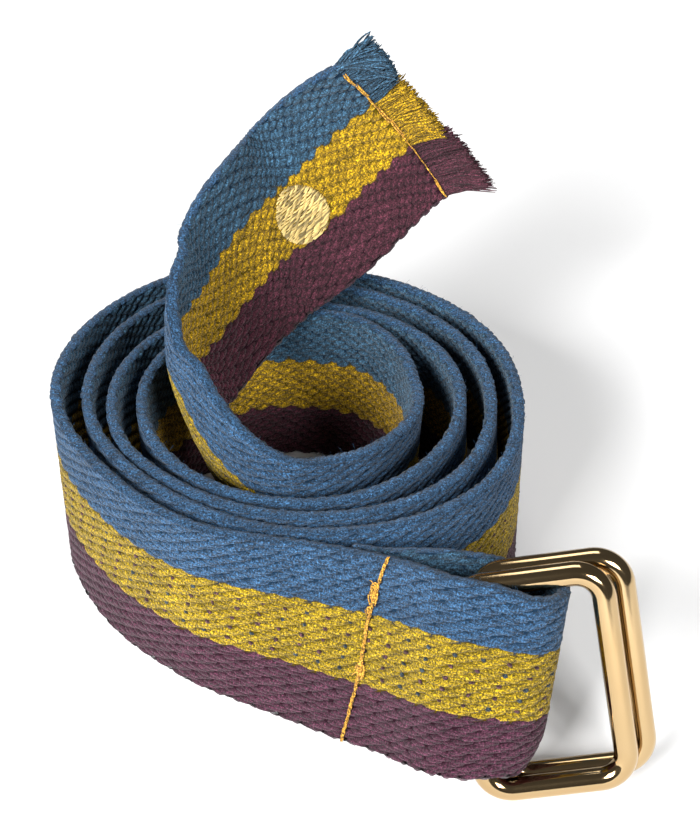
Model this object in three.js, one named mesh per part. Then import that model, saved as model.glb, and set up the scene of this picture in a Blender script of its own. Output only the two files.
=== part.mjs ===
// A fabric belt: woven webbing in three colours, coiled on its long edge. Its outer end is folded
// round two wire rings and sewn down. Its inner end rises out of the coil to a frayed tip, with a
// round patch of embroidery on the middle stripe.
// Millimetres, +Z up. The pieces are laid out round the coil's middle, with its lower edge on Z = 0,
// and the whole belt is then centred over the origin.

import * as THREE from 'three';
import { mergeVertices } from 'three/addons/utils/BufferGeometryUtils.js';

// Webbing
const WEBBING_WIDTH = 38;
const WEBBING_THICKNESS = 2.4;
const STRIPES = [
  { name: 'plum', share: 1 / 3, colour: 0x5e3d55 },
  { name: 'mustard', share: 1 / 3, colour: 0xc4a322 },
  { name: 'blue', share: 1 / 3, colour: 0x47719a },
];
const LYING_GAP = 0.3;
// Slanting turns need a little more room than the thickness and the gap
const TURN_SPACING = 1.08 * WEBBING_THICKNESS + LYING_GAP;

// Coil: how far its widest turn reaches from the middle
const COIL_RADIUS = 50;

// Rings: round wire bent to a rectangle with round corners
const WIRE_DIAMETER = 4.3;
const RING_OPENING_HEIGHT = 35.5;
const RING_OPENING_LENGTH = 20.9;
const RING_CORNER_RADIUS = 5;
const RING_FLOOR_GAP = 0.1;
const RING_TO_RING_GAP = 0.5;
const FAR_RING_SLIDE = 3.5;
const RING_PLACE = { turn: -23.7, reach: 1.389 };
const RING_TILT = { yaw: 4, lean: 20, roll: 11 };

// Loop of webbing that holds the rings
const LOOP_LENGTH = 9;
const LOOP_SKEW = 17;
const LOOP_SQUEEZE = 0.93;
const LOOP_SQUEEZE_START = 2;
const LOOP_LIFT = 4;
const LOOP_FRONT_REACH = 3;
const LOOP_BACK_REACH = 2.5;
const SEAM_TURN = -12;
const LAST_LYING_TURN = 1540;
const CUT_END_TURN = -6;

// Fringe and embroidery
const FRINGE_LENGTH = 9;
const FRINGE_HEAD = 1.5;
const FRINGE_THICKNESS = 1.8;
const FRINGE_FLARE = 0.22;
const LOCKS_PER_STRIPE = 6;
const DOT_DIAMETER = 11;
const DOT_THICKNESS = 0.5;
const DOT_GAP = 0.5;
const DOT_TURN = 1613;

// The run of the webbing, from the seam behind the rings to the tip. turn is in degrees about the
// coil, starting at the front and going by the left; reach is the distance of the webbing's middle
// line from the Z axis, as a share of COIL_RADIUS; lean tips the upper edge inwards and curl cups
// the cloth across its width, both in degrees; rise is the lower edge's height, as a share of
// WEBBING_WIDTH.
const RUN = [
  { turn: -12, reach: 1.1, lean: 22, curl: 0, rise: 0.08 },
  { turn: 0, reach: 0.966, lean: 16, curl: 0, rise: 0.02 },
  { turn: 30, reach: 0.91, lean: 5, curl: 0, rise: 0 },
  { turn: 60, reach: 0.93, lean: 3, curl: 0, rise: 0 },
  { turn: 90, reach: 1.0, lean: -1, curl: 0, rise: 0 },
  { turn: 135, reach: 0.954, lean: -4, curl: 0, rise: 0 },
  { turn: 180, reach: 0.894, lean: 10, curl: 0, rise: 0 },
  { turn: 225, reach: 0.87, lean: 13, curl: 0, rise: 0 },
  { turn: 270, reach: 0.79, lean: 1, curl: 0, rise: 0 },
  { turn: 315, reach: 0.852, lean: 2, curl: 0, rise: 0 },
  { turn: 360, reach: 0.862, lean: 12, curl: 0, rise: 0 },
  { turn: 405, reach: 0.818, lean: 2, curl: 0, rise: 0 },
  { turn: 450, reach: 0.858, lean: -4, curl: 0, rise: 0 },
  { turn: 495, reach: 0.838, lean: -3, curl: 0, rise: 0 },
  { turn: 540, reach: 0.818, lean: 13, curl: 0, rise: 0 },
  { turn: 585, reach: 0.778, lean: 15, curl: 0, rise: 0 },
  { turn: 630, reach: 0.704, lean: 4, curl: 0, rise: 0 },
  { turn: 675, reach: 0.736, lean: 1, curl: 0, rise: 0 },
  { turn: 720, reach: 0.728, lean: 1, curl: 0, rise: 0 },
  { turn: 810, reach: 0.75, lean: -5, curl: 0, rise: 0 },
  { turn: 900, reach: 0.628, lean: 9, curl: 0, rise: 0 },
  { turn: 990, reach: 0.582, lean: 3, curl: 0, rise: 0 },
  { turn: 1080, reach: 0.576, lean: -10, curl: 0, rise: 0 },
  { turn: 1170, reach: 0.66, lean: -1, curl: 0, rise: 0 },
  { turn: 1236, reach: 0.565, lean: 0, curl: 0, rise: 0 },
  { turn: 1260, reach: 0.53, lean: 0, curl: 0, rise: 0 },
  { turn: 1350, reach: 0.388, lean: -1, curl: 0, rise: 0 },
  { turn: 1404, reach: 0.45, lean: -7, curl: 0, rise: 0.065 },
  { turn: 1440, reach: 0.515, lean: -7, curl: 35, rise: 0.087 },
  { turn: 1472, reach: 0.525, lean: -17, curl: 63, rise: 0.236 },
  { turn: 1504, reach: 0.524, lean: -18, curl: 70, rise: 0.474 },
  { turn: 1536, reach: 0.519, lean: -10, curl: 54, rise: 0.676 },
  { turn: 1566, reach: 0.49, lean: -11, curl: 28, rise: 0.772 },
  { turn: 1594, reach: 0.545, lean: -22, curl: 26, rise: 0.965 },
  { turn: 1619, reach: 0.708, lean: -28, curl: 17, rise: 1.111 },
  { turn: 1642, reach: 0.839, lean: 0, curl: 51, rise: 1.455 },
];
const TIP_TURN = RUN[RUN.length - 1].turn;

// How finely the curved pieces are cut
const COIL_STEP = 3.5;
const LOOP_STEP = 3;
const FOLD_STEPS = 10;
const WIRE_SIDES = 12;
const CORNER_STEPS = 5;
const DOT_SIDES = 28;
const LEVELS = [0, 0.5, 1];

const radians = THREE.MathUtils.degToRad;
const vector = (x, y, z) => new THREE.Vector3(x, y, z);

// Reads one column of the run at any turn, by a cubic through its rows.
function readRun(column, turn) {
  const last = RUN.length - 1;
  let i = RUN.findIndex((row) => row.turn > turn) - 1;
  if (i < 0) i = turn < RUN[0].turn ? 0 : last - 1;
  const step = (k) => RUN[k + 1].turn - RUN[k].turn;
  const slope = (k) => (RUN[k + 1][column] - RUN[k][column]) / step(k);
  const slopeAtRow = (k) => {
    if (k === 0) return slope(0);
    if (k === last) return slope(last - 1);
    return (step(k) * slope(k - 1) + step(k - 1) * slope(k)) / (step(k) + step(k - 1));
  };
  const t = (turn - RUN[i].turn) / step(i);
  const drift = step(i) * t * (1 - t);
  const blend = t * t * (3 - 2 * t);
  return (
    RUN[i][column] * (1 - blend) +
    RUN[i + 1][column] * blend +
    drift * ((1 - t) * slopeAtRow(i) - t * slopeAtRow(i + 1))
  );
}

// How far the webbing's middle line is from the Z axis. Each turn lies inside the one before it, so
// where the two would touch the inner one gives way, at every height that they share.
function coilReach(turn) {
  const reach = readRun('reach', turn) * COIL_RADIUS;
  const outer = turn - 360;
  if (outer < SEAM_TURN || turn > LAST_LYING_TURN) return reach;
  const outerReach = coilReach(outer);
  const room = LEVELS.map((share) => {
    const spread = (share - 0.5) * WEBBING_WIDTH;
    const slope = Math.sin(radians(readRun('lean', outer))) - Math.sin(radians(readRun('lean', turn)));
    return outerReach - spread * slope;
  });
  return Math.min(reach, Math.min(...room) - TURN_SPACING);
}

// A section of the webbing: its middle point, the way along, the way across from the lower edge to
// the upper one, the curl in radians, and the width left where the cloth is squeezed.
function coilMiddle(turn) {
  const reach = coilReach(turn);
  const rise = Math.max(0, readRun('rise', turn)) * WEBBING_WIDTH;
  const lean = radians(readRun('lean', turn));
  const around = radians(turn);
  const height = rise + (WEBBING_WIDTH / 2) * Math.cos(lean);
  return vector(-reach * Math.sin(around), -reach * Math.cos(around), height);
}

function coilSection(turn) {
  const lookAhead = 3;
  const along = coilMiddle(turn + lookAhead).sub(coilMiddle(turn - lookAhead)).normalize();
  const outwards = vector(0, 0, 1).cross(along).normalize();
  const upright = along.clone().cross(outwards);
  const lean = radians(readRun('lean', turn));
  const across = upright.multiplyScalar(Math.cos(lean)).addScaledVector(outwards, -Math.sin(lean));
  return { middle: coilMiddle(turn), along, across, curl: radians(readRun('curl', turn)), width: 1 };
}

// The point of a section at a share of the width from the lower edge, and a height off the cloth's
// middle layer, measured towards the outer face.
function pointOn(section, share, height) {
  const { middle, along, across, curl, width } = section;
  const face = across.clone().cross(along).normalize();
  const from = (share - 0.5) * width * WEBBING_WIDTH;
  const bend = curl / WEBBING_WIDTH;
  const flat = Math.abs(bend) < 1e-6;
  const up = flat ? from : Math.sin(bend * from) / bend;
  const back = flat ? 0 : (1 - Math.cos(bend * from)) / bend;
  const point = middle.clone().addScaledVector(across, up).addScaledVector(face, -back);
  point.addScaledVector(face, height * Math.cos(bend * from));
  return point.addScaledVector(across, height * Math.sin(bend * from));
}

// The rings' own axes: along to the free bar, up the bars, and back away from the front.
const ringTurn = new THREE.Euler(
  radians(-RING_TILT.lean),
  radians(-RING_TILT.roll),
  radians(-RING_TILT.yaw),
  'ZXY',
);
const ringAlong = vector(1, 0, 0).applyEuler(ringTurn);
const ringUp = vector(0, 0, 1).applyEuler(ringTurn);
const ringBack = vector(0, 1, 0).applyEuler(ringTurn);

// The wire's centre line, from the middle of the held bar round to it again.
function ringOutline() {
  const length = RING_OPENING_LENGTH + WIRE_DIAMETER;
  const half = (RING_OPENING_HEIGHT + WIRE_DIAMETER) / 2;
  const corners = [
    { along: length, up: -half, start: -90 },
    { along: length, up: half, start: 0 },
    { along: 0, up: half, start: 90 },
    { along: 0, up: -half, start: 180 },
  ];
  const points = [];
  for (const corner of corners) {
    const inAlong = corner.along - Math.sign(corner.along - length / 2) * RING_CORNER_RADIUS;
    const inUp = corner.up - Math.sign(corner.up) * RING_CORNER_RADIUS;
    for (let i = 0; i <= CORNER_STEPS; i += 1) {
      const angle = radians(corner.start + (90 * i) / CORNER_STEPS);
      points.push({
        along: inAlong + RING_CORNER_RADIUS * Math.cos(angle),
        up: inUp + RING_CORNER_RADIUS * Math.sin(angle),
        angle,
      });
    }
  }
  return points;
}

const heldBar = vector(
  -RING_PLACE.reach * COIL_RADIUS * Math.sin(radians(RING_PLACE.turn)),
  -RING_PLACE.reach * COIL_RADIUS * Math.cos(radians(RING_PLACE.turn)),
  0,
);
const ringSpacing = WIRE_DIAMETER + RING_TO_RING_GAP;
const lowestNear = Math.min(...ringOutline().map((p) => p.along * ringAlong.z + p.up * ringUp.z));
const lowestFar = lowestNear + ringSpacing * ringBack.z + FAR_RING_SLIDE * ringAlong.z;
heldBar.z = RING_FLOOR_GAP + WIRE_DIAMETER / 2 - Math.min(lowestNear, lowestFar);

// The loop lies flat against both rings. Its own axes are turned in their plane by the skew.
const skew = radians(LOOP_SKEW);
const loopAlong = ringAlong.clone().multiplyScalar(Math.cos(skew)).addScaledVector(ringUp, -Math.sin(skew));
const loopAcross = ringUp.clone().multiplyScalar(Math.cos(skew)).addScaledVector(ringAlong, Math.sin(skew));
const layerOffset = WIRE_DIAMETER / 2 + LYING_GAP + WEBBING_THICKNESS / 2;
const foldRadius = (ringSpacing + 2 * layerOffset) / 2;

function loopSection(along, back, heading) {
  const squeeze = THREE.MathUtils.clamp((along - LOOP_SQUEEZE_START) / (LOOP_LENGTH - LOOP_SQUEEZE_START), 0, 1);
  const width = THREE.MathUtils.lerp(1, LOOP_SQUEEZE, squeeze);
  const middle = heldBar.clone().addScaledVector(ringUp, LOOP_LIFT);
  middle.addScaledVector(loopAlong, along).addScaledVector(ringBack, back);
  return { middle, along: heading.clone().normalize(), across: loopAcross.clone(), curl: 0, width };
}

// A smooth join from one section to the next, leaving each along its own heading.
function joinSections(from, to) {
  const reach = from.middle.distanceTo(to.middle) / 3;
  const curve = new THREE.CubicBezierCurve3(
    from.middle,
    from.middle.clone().addScaledVector(from.along, reach),
    to.middle.clone().addScaledVector(to.along, -reach),
    to.middle,
  );
  const steps = Math.ceil((3 * reach) / LOOP_STEP);
  const between = [];
  for (let i = 1; i < steps; i += 1) {
    const t = i / steps;
    between.push({
      middle: curve.getPoint(t),
      along: curve.getTangent(t),
      across: from.across.clone().lerp(to.across, t).normalize(),
      curl: 0,
      width: THREE.MathUtils.lerp(from.width, to.width, t),
    });
  }
  return between;
}

// The cut end lies behind the front layer at the seam, at the cloth's own thickness.
function layerBehind(turn) {
  const front = coilSection(turn);
  const middle = pointOn(front, 0.5, -(WEBBING_THICKNESS + LYING_GAP));
  return { ...front, middle, along: front.along.clone().negate() };
}

function webbingSections() {
  const back = ringSpacing + layerOffset;
  const behindSeam = [CUT_END_TURN, (CUT_END_TURN + SEAM_TURN) / 2, SEAM_TURN].map(layerBehind);
  const backLayer = [];
  for (const share of [0, 0.5, 1]) {
    const along = THREE.MathUtils.lerp(-LOOP_BACK_REACH, LOOP_LENGTH, share);
    backLayer.push(loopSection(along, back, loopAlong));
  }
  const fold = [];
  for (let i = 1; i < FOLD_STEPS; i += 1) {
    const angle = (Math.PI * i) / FOLD_STEPS;
    const heading = loopAlong.clone().multiplyScalar(Math.cos(angle));
    heading.addScaledVector(ringBack, -Math.sin(angle));
    const along = LOOP_LENGTH + foldRadius * Math.sin(angle);
    fold.push(loopSection(along, back - foldRadius * (1 - Math.cos(angle)), heading));
  }
  const frontLayer = [];
  for (const share of [1, 0.66, 0.33, 0]) {
    const along = THREE.MathUtils.lerp(-LOOP_FRONT_REACH, LOOP_LENGTH, share);
    frontLayer.push(loopSection(along, -layerOffset, loopAlong.clone().negate()));
  }
  const coil = [];
  for (let turn = SEAM_TURN; turn < TIP_TURN; ) {
    coil.push(coilSection(turn));
    const room = Math.max(readRun('reach', turn) * COIL_RADIUS, WEBBING_THICKNESS);
    turn += THREE.MathUtils.radToDeg(COIL_STEP / room);
  }
  coil.push(coilSection(TIP_TURN));
  return [
    ...behindSeam,
    ...joinSections(behindSeam[behindSeam.length - 1], backLayer[0]),
    ...backLayer,
    ...fold,
    ...frontLayer,
    ...joinSections(frontLayer[frontLayer.length - 1], coil[0]),
    ...coil,
  ];
}

// Skins a row of equal rings of points. Open rows are closed at both ends, by strips between the
// first and second half of the ring.
function skin(rings, closed) {
  const count = rings[0].length;
  const triangles = [];
  const quad = (a, b, c, d) => triangles.push(a, b, c, a, c, d);
  const rows = closed ? rings.length : rings.length - 1;
  for (let j = 0; j < rows; j += 1) {
    const here = j * count;
    const next = ((j + 1) % rings.length) * count;
    for (let i = 0; i < count; i += 1) {
      const k = (i + 1) % count;
      quad(here + i, here + k, next + k, next + i);
    }
  }
  if (!closed) {
    const end = (rings.length - 1) * count;
    for (let i = 0; i < count / 2 - 1; i += 1) {
      const other = count - 1 - i;
      quad(i, other, other - 1, i + 1);
      quad(end + i, end + i + 1, end + other - 1, end + other);
    }
  }
  const geometry = new THREE.BufferGeometry();
  const places = rings.flat().flatMap((p) => [p.x, p.y, p.z]);
  geometry.setAttribute('position', new THREE.Float32BufferAttribute(places, 3));
  geometry.setIndex(triangles);
  return facingOut(geometry);
}

// Turns a closed geometry's faces over if they point inwards.
function facingOut(geometry) {
  const place = geometry.attributes.position;
  const index = geometry.index.array;
  const [a, b, c] = [vector(), vector(), vector()];
  let volume = 0;
  for (let i = 0; i < index.length; i += 3) {
    a.fromBufferAttribute(place, index[i]);
    b.fromBufferAttribute(place, index[i + 1]);
    c.fromBufferAttribute(place, index[i + 2]);
    volume += a.dot(b.cross(c));
  }
  if (volume < 0) {
    for (let i = 0; i < index.length; i += 3) [index[i + 1], index[i + 2]] = [index[i + 2], index[i + 1]];
  }
  geometry.computeVertexNormals();
  return geometry;
}

function finish(colour, roughness, metalness, extra) {
  return new THREE.MeshStandardMaterial({ color: colour, roughness, metalness, ...extra });
}

// Shares of the width at which the stripes meet, from the lower edge up.
const stripeEdges = [0];
for (const stripe of STRIPES) stripeEdges.push(stripeEdges[stripeEdges.length - 1] + stripe.share);

function webbing() {
  const half = WEBBING_THICKNESS / 2;
  const restsBelow = 0.05;
  const rings = webbingSections().map((section) => {
    const outer = stripeEdges.map((share) => pointOn(section, share, half));
    const inner = stripeEdges.map((share) => pointOn(section, share, -half)).reverse();
    const lower = [outer[0], inner[inner.length - 1]];
    const rests = pointOn(section, 0, 0).z < restsBelow;
    for (const point of lower) point.z = rests ? 0 : Math.max(0, point.z);
    return [...outer, ...inner];
  });
  const geometry = skin(rings, false).toNonIndexed();
  const count = rings[0].length;
  const trianglesPerRow = 2 * count;
  const shades = [];
  const triangleTotal = geometry.attributes.position.count / 3;
  for (let i = 0; i < triangleTotal; i += 1) {
    const side = Math.floor((i % trianglesPerRow) / 2);
    const step = side < STRIPES.length ? side : count - 2 - side;
    const stripe = STRIPES[THREE.MathUtils.clamp(step, 0, STRIPES.length - 1)];
    const shade = new THREE.Color(stripe.colour);
    for (let corner = 0; corner < 3; corner += 1) shades.push(shade.r, shade.g, shade.b);
  }
  geometry.setAttribute('color', new THREE.Float32BufferAttribute(shades, 3));
  const mesh = new THREE.Mesh(geometry, finish(0xffffff, 0.9, 0, { vertexColors: true }));
  mesh.name = 'webbing';
  return mesh;
}

function ring(name, back, slide) {
  const centre = heldBar.clone().addScaledVector(ringBack, back).addScaledVector(ringAlong, slide);
  const rings = ringOutline().map((p) => {
    const middle = centre.clone().addScaledVector(ringAlong, p.along).addScaledVector(ringUp, p.up);
    const outwards = ringAlong.clone().multiplyScalar(Math.cos(p.angle));
    outwards.addScaledVector(ringUp, Math.sin(p.angle));
    const points = [];
    for (let i = 0; i < WIRE_SIDES; i += 1) {
      const angle = (2 * Math.PI * i) / WIRE_SIDES;
      const point = middle.clone().addScaledVector(outwards, (WIRE_DIAMETER / 2) * Math.cos(angle));
      points.push(point.addScaledVector(ringBack, (WIRE_DIAMETER / 2) * Math.sin(angle)));
    }
    return points;
  });
  const mesh = new THREE.Mesh(skin(rings, true), finish(0xd9b36a, 0.18, 1));
  mesh.name = name;
  return mesh;
}

// Bends a flat extruded shape onto the webbing. In the shape, X runs along the webbing in
// millimetres from a section, Y across it as a share of the width, and Z off its middle layer.
function laidOn(shape, depth, lift, sectionAt) {
  const flat = new THREE.ExtrudeGeometry(shape, { depth, bevelEnabled: false });
  flat.deleteAttribute('normal');
  flat.deleteAttribute('uv');
  const geometry = mergeVertices(flat);
  const place = geometry.attributes.position;
  for (let i = 0; i < place.count; i += 1) {
    const point = sectionAt(place.getX(i), place.getY(i), lift + place.getZ(i));
    place.setXYZ(i, point.x, point.y, point.z);
  }
  return facingOut(geometry);
}

// A stripe's frayed threads: a head along the webbing's end with pointed locks, which fan apart.
function fringe(stripe, from, to) {
  const shape = new THREE.Shape();
  const lockWidth = (to - from) / LOCKS_PER_STRIPE;
  const sideGap = LYING_GAP / WEBBING_WIDTH / 2;
  const root = LYING_GAP;
  shape.moveTo(root, from + sideGap);
  for (let i = 0; i < LOCKS_PER_STRIPE; i += 1) {
    const left = from + i * lockWidth;
    const longer = i % 2 === 0 ? 1 : 0.88;
    if (i > 0) shape.lineTo(root + FRINGE_HEAD, left);
    else shape.lineTo(root + FRINGE_HEAD, left + sideGap);
    shape.lineTo(root + FRINGE_LENGTH * longer, left + 0.3 * lockWidth);
    shape.lineTo(root + FRINGE_LENGTH * longer, left + 0.7 * lockWidth);
  }
  shape.lineTo(root + FRINGE_HEAD, to - sideGap);
  shape.lineTo(root, to - sideGap);
  const tip = coilSection(TIP_TURN);
  const onTip = (along, share, height) => {
    const fan = 1 + FRINGE_FLARE * (Math.max(0, along - root - FRINGE_HEAD) / FRINGE_LENGTH);
    const point = pointOn(tip, 0.5 + (share - 0.5) * fan, height);
    return point.addScaledVector(tip.along, along);
  };
  const geometry = laidOn(shape, FRINGE_THICKNESS, -FRINGE_THICKNESS / 2, onTip);
  const mesh = new THREE.Mesh(geometry, finish(stripe.colour, 0.95, 0));
  mesh.name = `fringe_${stripe.name}`;
  return mesh;
}

// The round patch lies on the inner face, over the middle of the mustard stripe.
function embroideredDot() {
  const middleShare = (stripeEdges[1] + stripeEdges[2]) / 2;
  const shape = new THREE.Shape();
  for (let i = 0; i < DOT_SIDES; i += 1) {
    const angle = (2 * Math.PI * i) / DOT_SIDES;
    const along = (DOT_DIAMETER / 2) * Math.cos(angle);
    const across = middleShare + (DOT_DIAMETER / 2 / WEBBING_WIDTH) * Math.sin(angle);
    if (i === 0) shape.moveTo(along, across);
    else shape.lineTo(along, across);
  }
  const step = 1;
  const perDegree = coilMiddle(DOT_TURN + step).distanceTo(coilMiddle(DOT_TURN - step)) / (2 * step);
  const onTail = (along, share, height) => pointOn(coilSection(DOT_TURN + along / perDegree), share, height);
  const lift = -(WEBBING_THICKNESS / 2 + DOT_GAP + DOT_THICKNESS);
  const geometry = laidOn(shape, DOT_THICKNESS, lift, onTail);
  const mesh = new THREE.Mesh(geometry, finish(0xe3cf86, 0.4, 0.5));
  mesh.name = 'embroidered_dot';
  return mesh;
}

const belt = new THREE.Group();
belt.add(webbing());
belt.add(ring('ring_near', 0, 0));
belt.add(ring('ring_far', ringSpacing, FAR_RING_SLIDE));
STRIPES.forEach((stripe, i) => belt.add(fringe(stripe, stripeEdges[i], stripeEdges[i + 1])));
belt.add(embroideredDot());

// The origin is under the middle of the whole belt.
const bounds = new THREE.Box3().setFromObject(belt);
const middle = bounds.getCenter(vector());
belt.position.set(-middle.x, -middle.y, -bounds.min.z);

export default belt;
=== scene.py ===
"""A coiled belt of three-colour webbing with two wire rings and a frayed tip."""
import math
import random

import bpy
import numpy as np
from mathutils import Euler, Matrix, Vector


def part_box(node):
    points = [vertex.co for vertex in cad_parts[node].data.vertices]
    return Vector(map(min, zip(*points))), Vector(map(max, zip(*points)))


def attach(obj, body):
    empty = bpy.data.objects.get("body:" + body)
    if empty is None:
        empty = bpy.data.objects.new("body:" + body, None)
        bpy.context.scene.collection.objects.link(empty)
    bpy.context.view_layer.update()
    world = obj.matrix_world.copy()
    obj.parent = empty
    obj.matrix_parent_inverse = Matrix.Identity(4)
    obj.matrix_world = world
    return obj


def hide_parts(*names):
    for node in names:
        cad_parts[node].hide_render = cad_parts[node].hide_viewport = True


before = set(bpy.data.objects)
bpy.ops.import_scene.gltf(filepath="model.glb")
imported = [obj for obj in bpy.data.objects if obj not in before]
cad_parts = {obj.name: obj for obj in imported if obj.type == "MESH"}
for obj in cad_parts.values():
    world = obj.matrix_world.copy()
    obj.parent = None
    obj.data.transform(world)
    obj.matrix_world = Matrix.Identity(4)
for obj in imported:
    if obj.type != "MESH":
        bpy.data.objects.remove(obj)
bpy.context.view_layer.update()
random.seed(4)
rng = np.random.default_rng(4)

# Sizes in millimetres, as the solids have them
MM = 0.001
WIDTH = 38.0
THICKNESS = 2.4
COIL_RADIUS = 50.0
LYING_GAP = 0.3
TURN_SPACING = 1.08 * THICKNESS + LYING_GAP
WIRE = 4.3
OPENING_HEIGHT = 35.5
OPENING_LENGTH = 20.9
RING_CORNER = 5.0
RING_FLOOR_GAP = 0.1
RING_GAP = 0.5
FAR_RING_SLIDE = 3.5
RING_TURN, RING_REACH = -23.7, 1.389
RING_YAW, RING_LEAN, RING_ROLL = 4, 20, 11
LOOP_LENGTH = 8.2
CORNER_PULL, CORNER_HEIGHT = 2.4, 10.0
LOOP_SKEW = 17
LOOP_SQUEEZE = 0.93
LOOP_SQUEEZE_START = 2.0
LOOP_LIFT = 4.0
LOOP_FRONT_REACH = 3.0
LOOP_BACK_REACH = 2.5
SEAM_TURN = -12
CUT_END_TURN = -6
LAST_LYING_TURN = 1540
TIP_TURN = 1642
DOT_TURN = 1613
DOT_DIAMETER = 12.2

# The run of the webbing: turn, reach, lean, curl and rise, as in the solids
RUN = np.array([
    (-12, 1.1, 22, 0, 0.08), (0, 0.966, 16, 0, 0.02), (30, 0.91, 5, 0, 0), (60, 0.93, 3, 0, 0),
    (90, 1.0, -1, 0, 0), (135, 0.954, -4, 0, 0), (180, 0.894, 10, 0, 0), (225, 0.87, 13, 0, 0),
    (270, 0.79, 1, 0, 0), (315, 0.852, 2, 0, 0), (360, 0.862, 12, 0, 0), (405, 0.818, 2, 0, 0),
    (450, 0.858, -4, 0, 0), (495, 0.838, -3, 0, 0), (540, 0.818, 13, 0, 0), (585, 0.778, 15, 0, 0),
    (630, 0.704, 4, 0, 0), (675, 0.736, 1, 0, 0), (720, 0.728, 1, 0, 0), (810, 0.75, -5, 0, 0),
    (900, 0.628, 9, 0, 0), (990, 0.582, 3, 0, 0), (1080, 0.576, -10, 0, 0), (1170, 0.66, -1, 0, 0),
    (1236, 0.565, 0, 0, 0), (1260, 0.53, 0, 0, 0), (1350, 0.388, -1, 0, 0), (1404, 0.45, -7, 0, 0.065),
    (1440, 0.515, -7, 35, 0.087), (1472, 0.525, -17, 63, 0.236), (1504, 0.524, -18, 70, 0.474),
    (1536, 0.519, -10, 54, 0.676), (1566, 0.49, -11, 28, 0.772), (1594, 0.545, -22, 26, 0.965),
    (1619, 0.708, -28, 17, 1.111), (1642, 0.839, 0, 51, 1.455),
])
COLUMNS = {"reach": 1, "lean": 2, "curl": 3, "rise": 4}
ROW_STEPS = np.diff(RUN[:, 0])

# Dyes of the three stripes, from the lower edge up, and of the threads
PLUM, MUSTARD, BLUE = (0.045, 0.0125, 0.025), (0.215, 0.145, 0.003), (0.018, 0.053, 0.108)
INNER_PLUM, INNER_MUSTARD, INNER_BLUE = (0.052, 0.013, 0.022), (0.3, 0.18, 0.004), (0.025, 0.066, 0.11)
GOLD_THREAD, DOT_THREAD = (0.45, 0.23, 0.03), (0.62, 0.46, 0.17)


def read_run(column, turn):
    """One column of the run at any turn, by the same cubic as the solids."""
    values = RUN[:, COLUMNS[column]]
    last = len(RUN) - 1
    i = int(np.clip(np.searchsorted(RUN[:, 0], turn, side="right") - 1, 0, last - 1))

    def slope(k):
        return (values[k + 1] - values[k]) / ROW_STEPS[k]

    def slope_at_row(k):
        if k == 0:
            return slope(0)
        if k == last:
            return slope(last - 1)
        before, after = ROW_STEPS[k - 1], ROW_STEPS[k]
        return (after * slope(k - 1) + before * slope(k)) / (after + before)

    t = (turn - RUN[i, 0]) / ROW_STEPS[i]
    drift = ROW_STEPS[i] * t * (1 - t)
    blend = t * t * (3 - 2 * t)
    eased = values[i] * (1 - blend) + values[i + 1] * blend
    return eased + drift * ((1 - t) * slope_at_row(i) - t * slope_at_row(i + 1))


def coil_reach(turn):
    """How far the middle line is from the coil's axis: an inner turn gives way to the outer one."""
    reach = read_run("reach", turn) * COIL_RADIUS
    outer = turn - 360
    if outer < SEAM_TURN or turn > LAST_LYING_TURN:
        return reach
    outer_reach = coil_reach(outer)
    slope = math.sin(math.radians(read_run("lean", outer))) - math.sin(math.radians(read_run("lean", turn)))
    room = min(outer_reach - (share - 0.5) * WIDTH * slope for share in (0, 0.5, 1))
    return min(reach, room - TURN_SPACING)


def unit(v):
    return v / np.linalg.norm(v, axis=-1, keepdims=True)


def coil_middle(turn):
    reach = coil_reach(turn)
    around = math.radians(turn)
    height = max(0, read_run("rise", turn)) * WIDTH + WIDTH / 2 * math.cos(math.radians(read_run("lean", turn)))
    return np.array([-reach * math.sin(around), -reach * math.cos(around), height])


def coil_section(turn):
    along = unit(coil_middle(turn + 3) - coil_middle(turn - 3))
    outwards = unit(np.cross([0, 0, 1], along))
    upright = np.cross(along, outwards)
    lean = math.radians(read_run("lean", turn))
    across = upright * math.cos(lean) - outwards * math.sin(lean)
    return [coil_middle(turn), along, across, math.radians(read_run("curl", turn)), 1.0]


# The rings' axes: along to the free bar, up the bars, and back away from the front
lean_turn = Euler((math.radians(-RING_LEAN), 0, 0)).to_matrix()
roll_turn = Euler((0, math.radians(-RING_ROLL), 0)).to_matrix()
yaw_turn = Euler((0, 0, math.radians(-RING_YAW))).to_matrix()
tilt = np.array(yaw_turn @ lean_turn @ roll_turn)
ring_along, ring_back, ring_up = tilt[:, 0], tilt[:, 1], tilt[:, 2]


def ring_outline(steps):
    """The wire's centre line round the opening, in the ring's own plane."""
    length, half = OPENING_LENGTH + WIRE, (OPENING_HEIGHT + WIRE) / 2
    corners = [(length, -half, -90), (length, half, 0), (0, half, 90), (0, -half, 180)]
    points = []
    for along, up, start in corners:
        centre_along = along - math.copysign(RING_CORNER, along - length / 2)
        centre_up = up - math.copysign(RING_CORNER, up)
        for i in range(steps + 1):
            angle = math.radians(start + 90 * i / steps)
            points.append((centre_along + RING_CORNER * math.cos(angle), centre_up + RING_CORNER * math.sin(angle)))
    return np.array(points)


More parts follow.
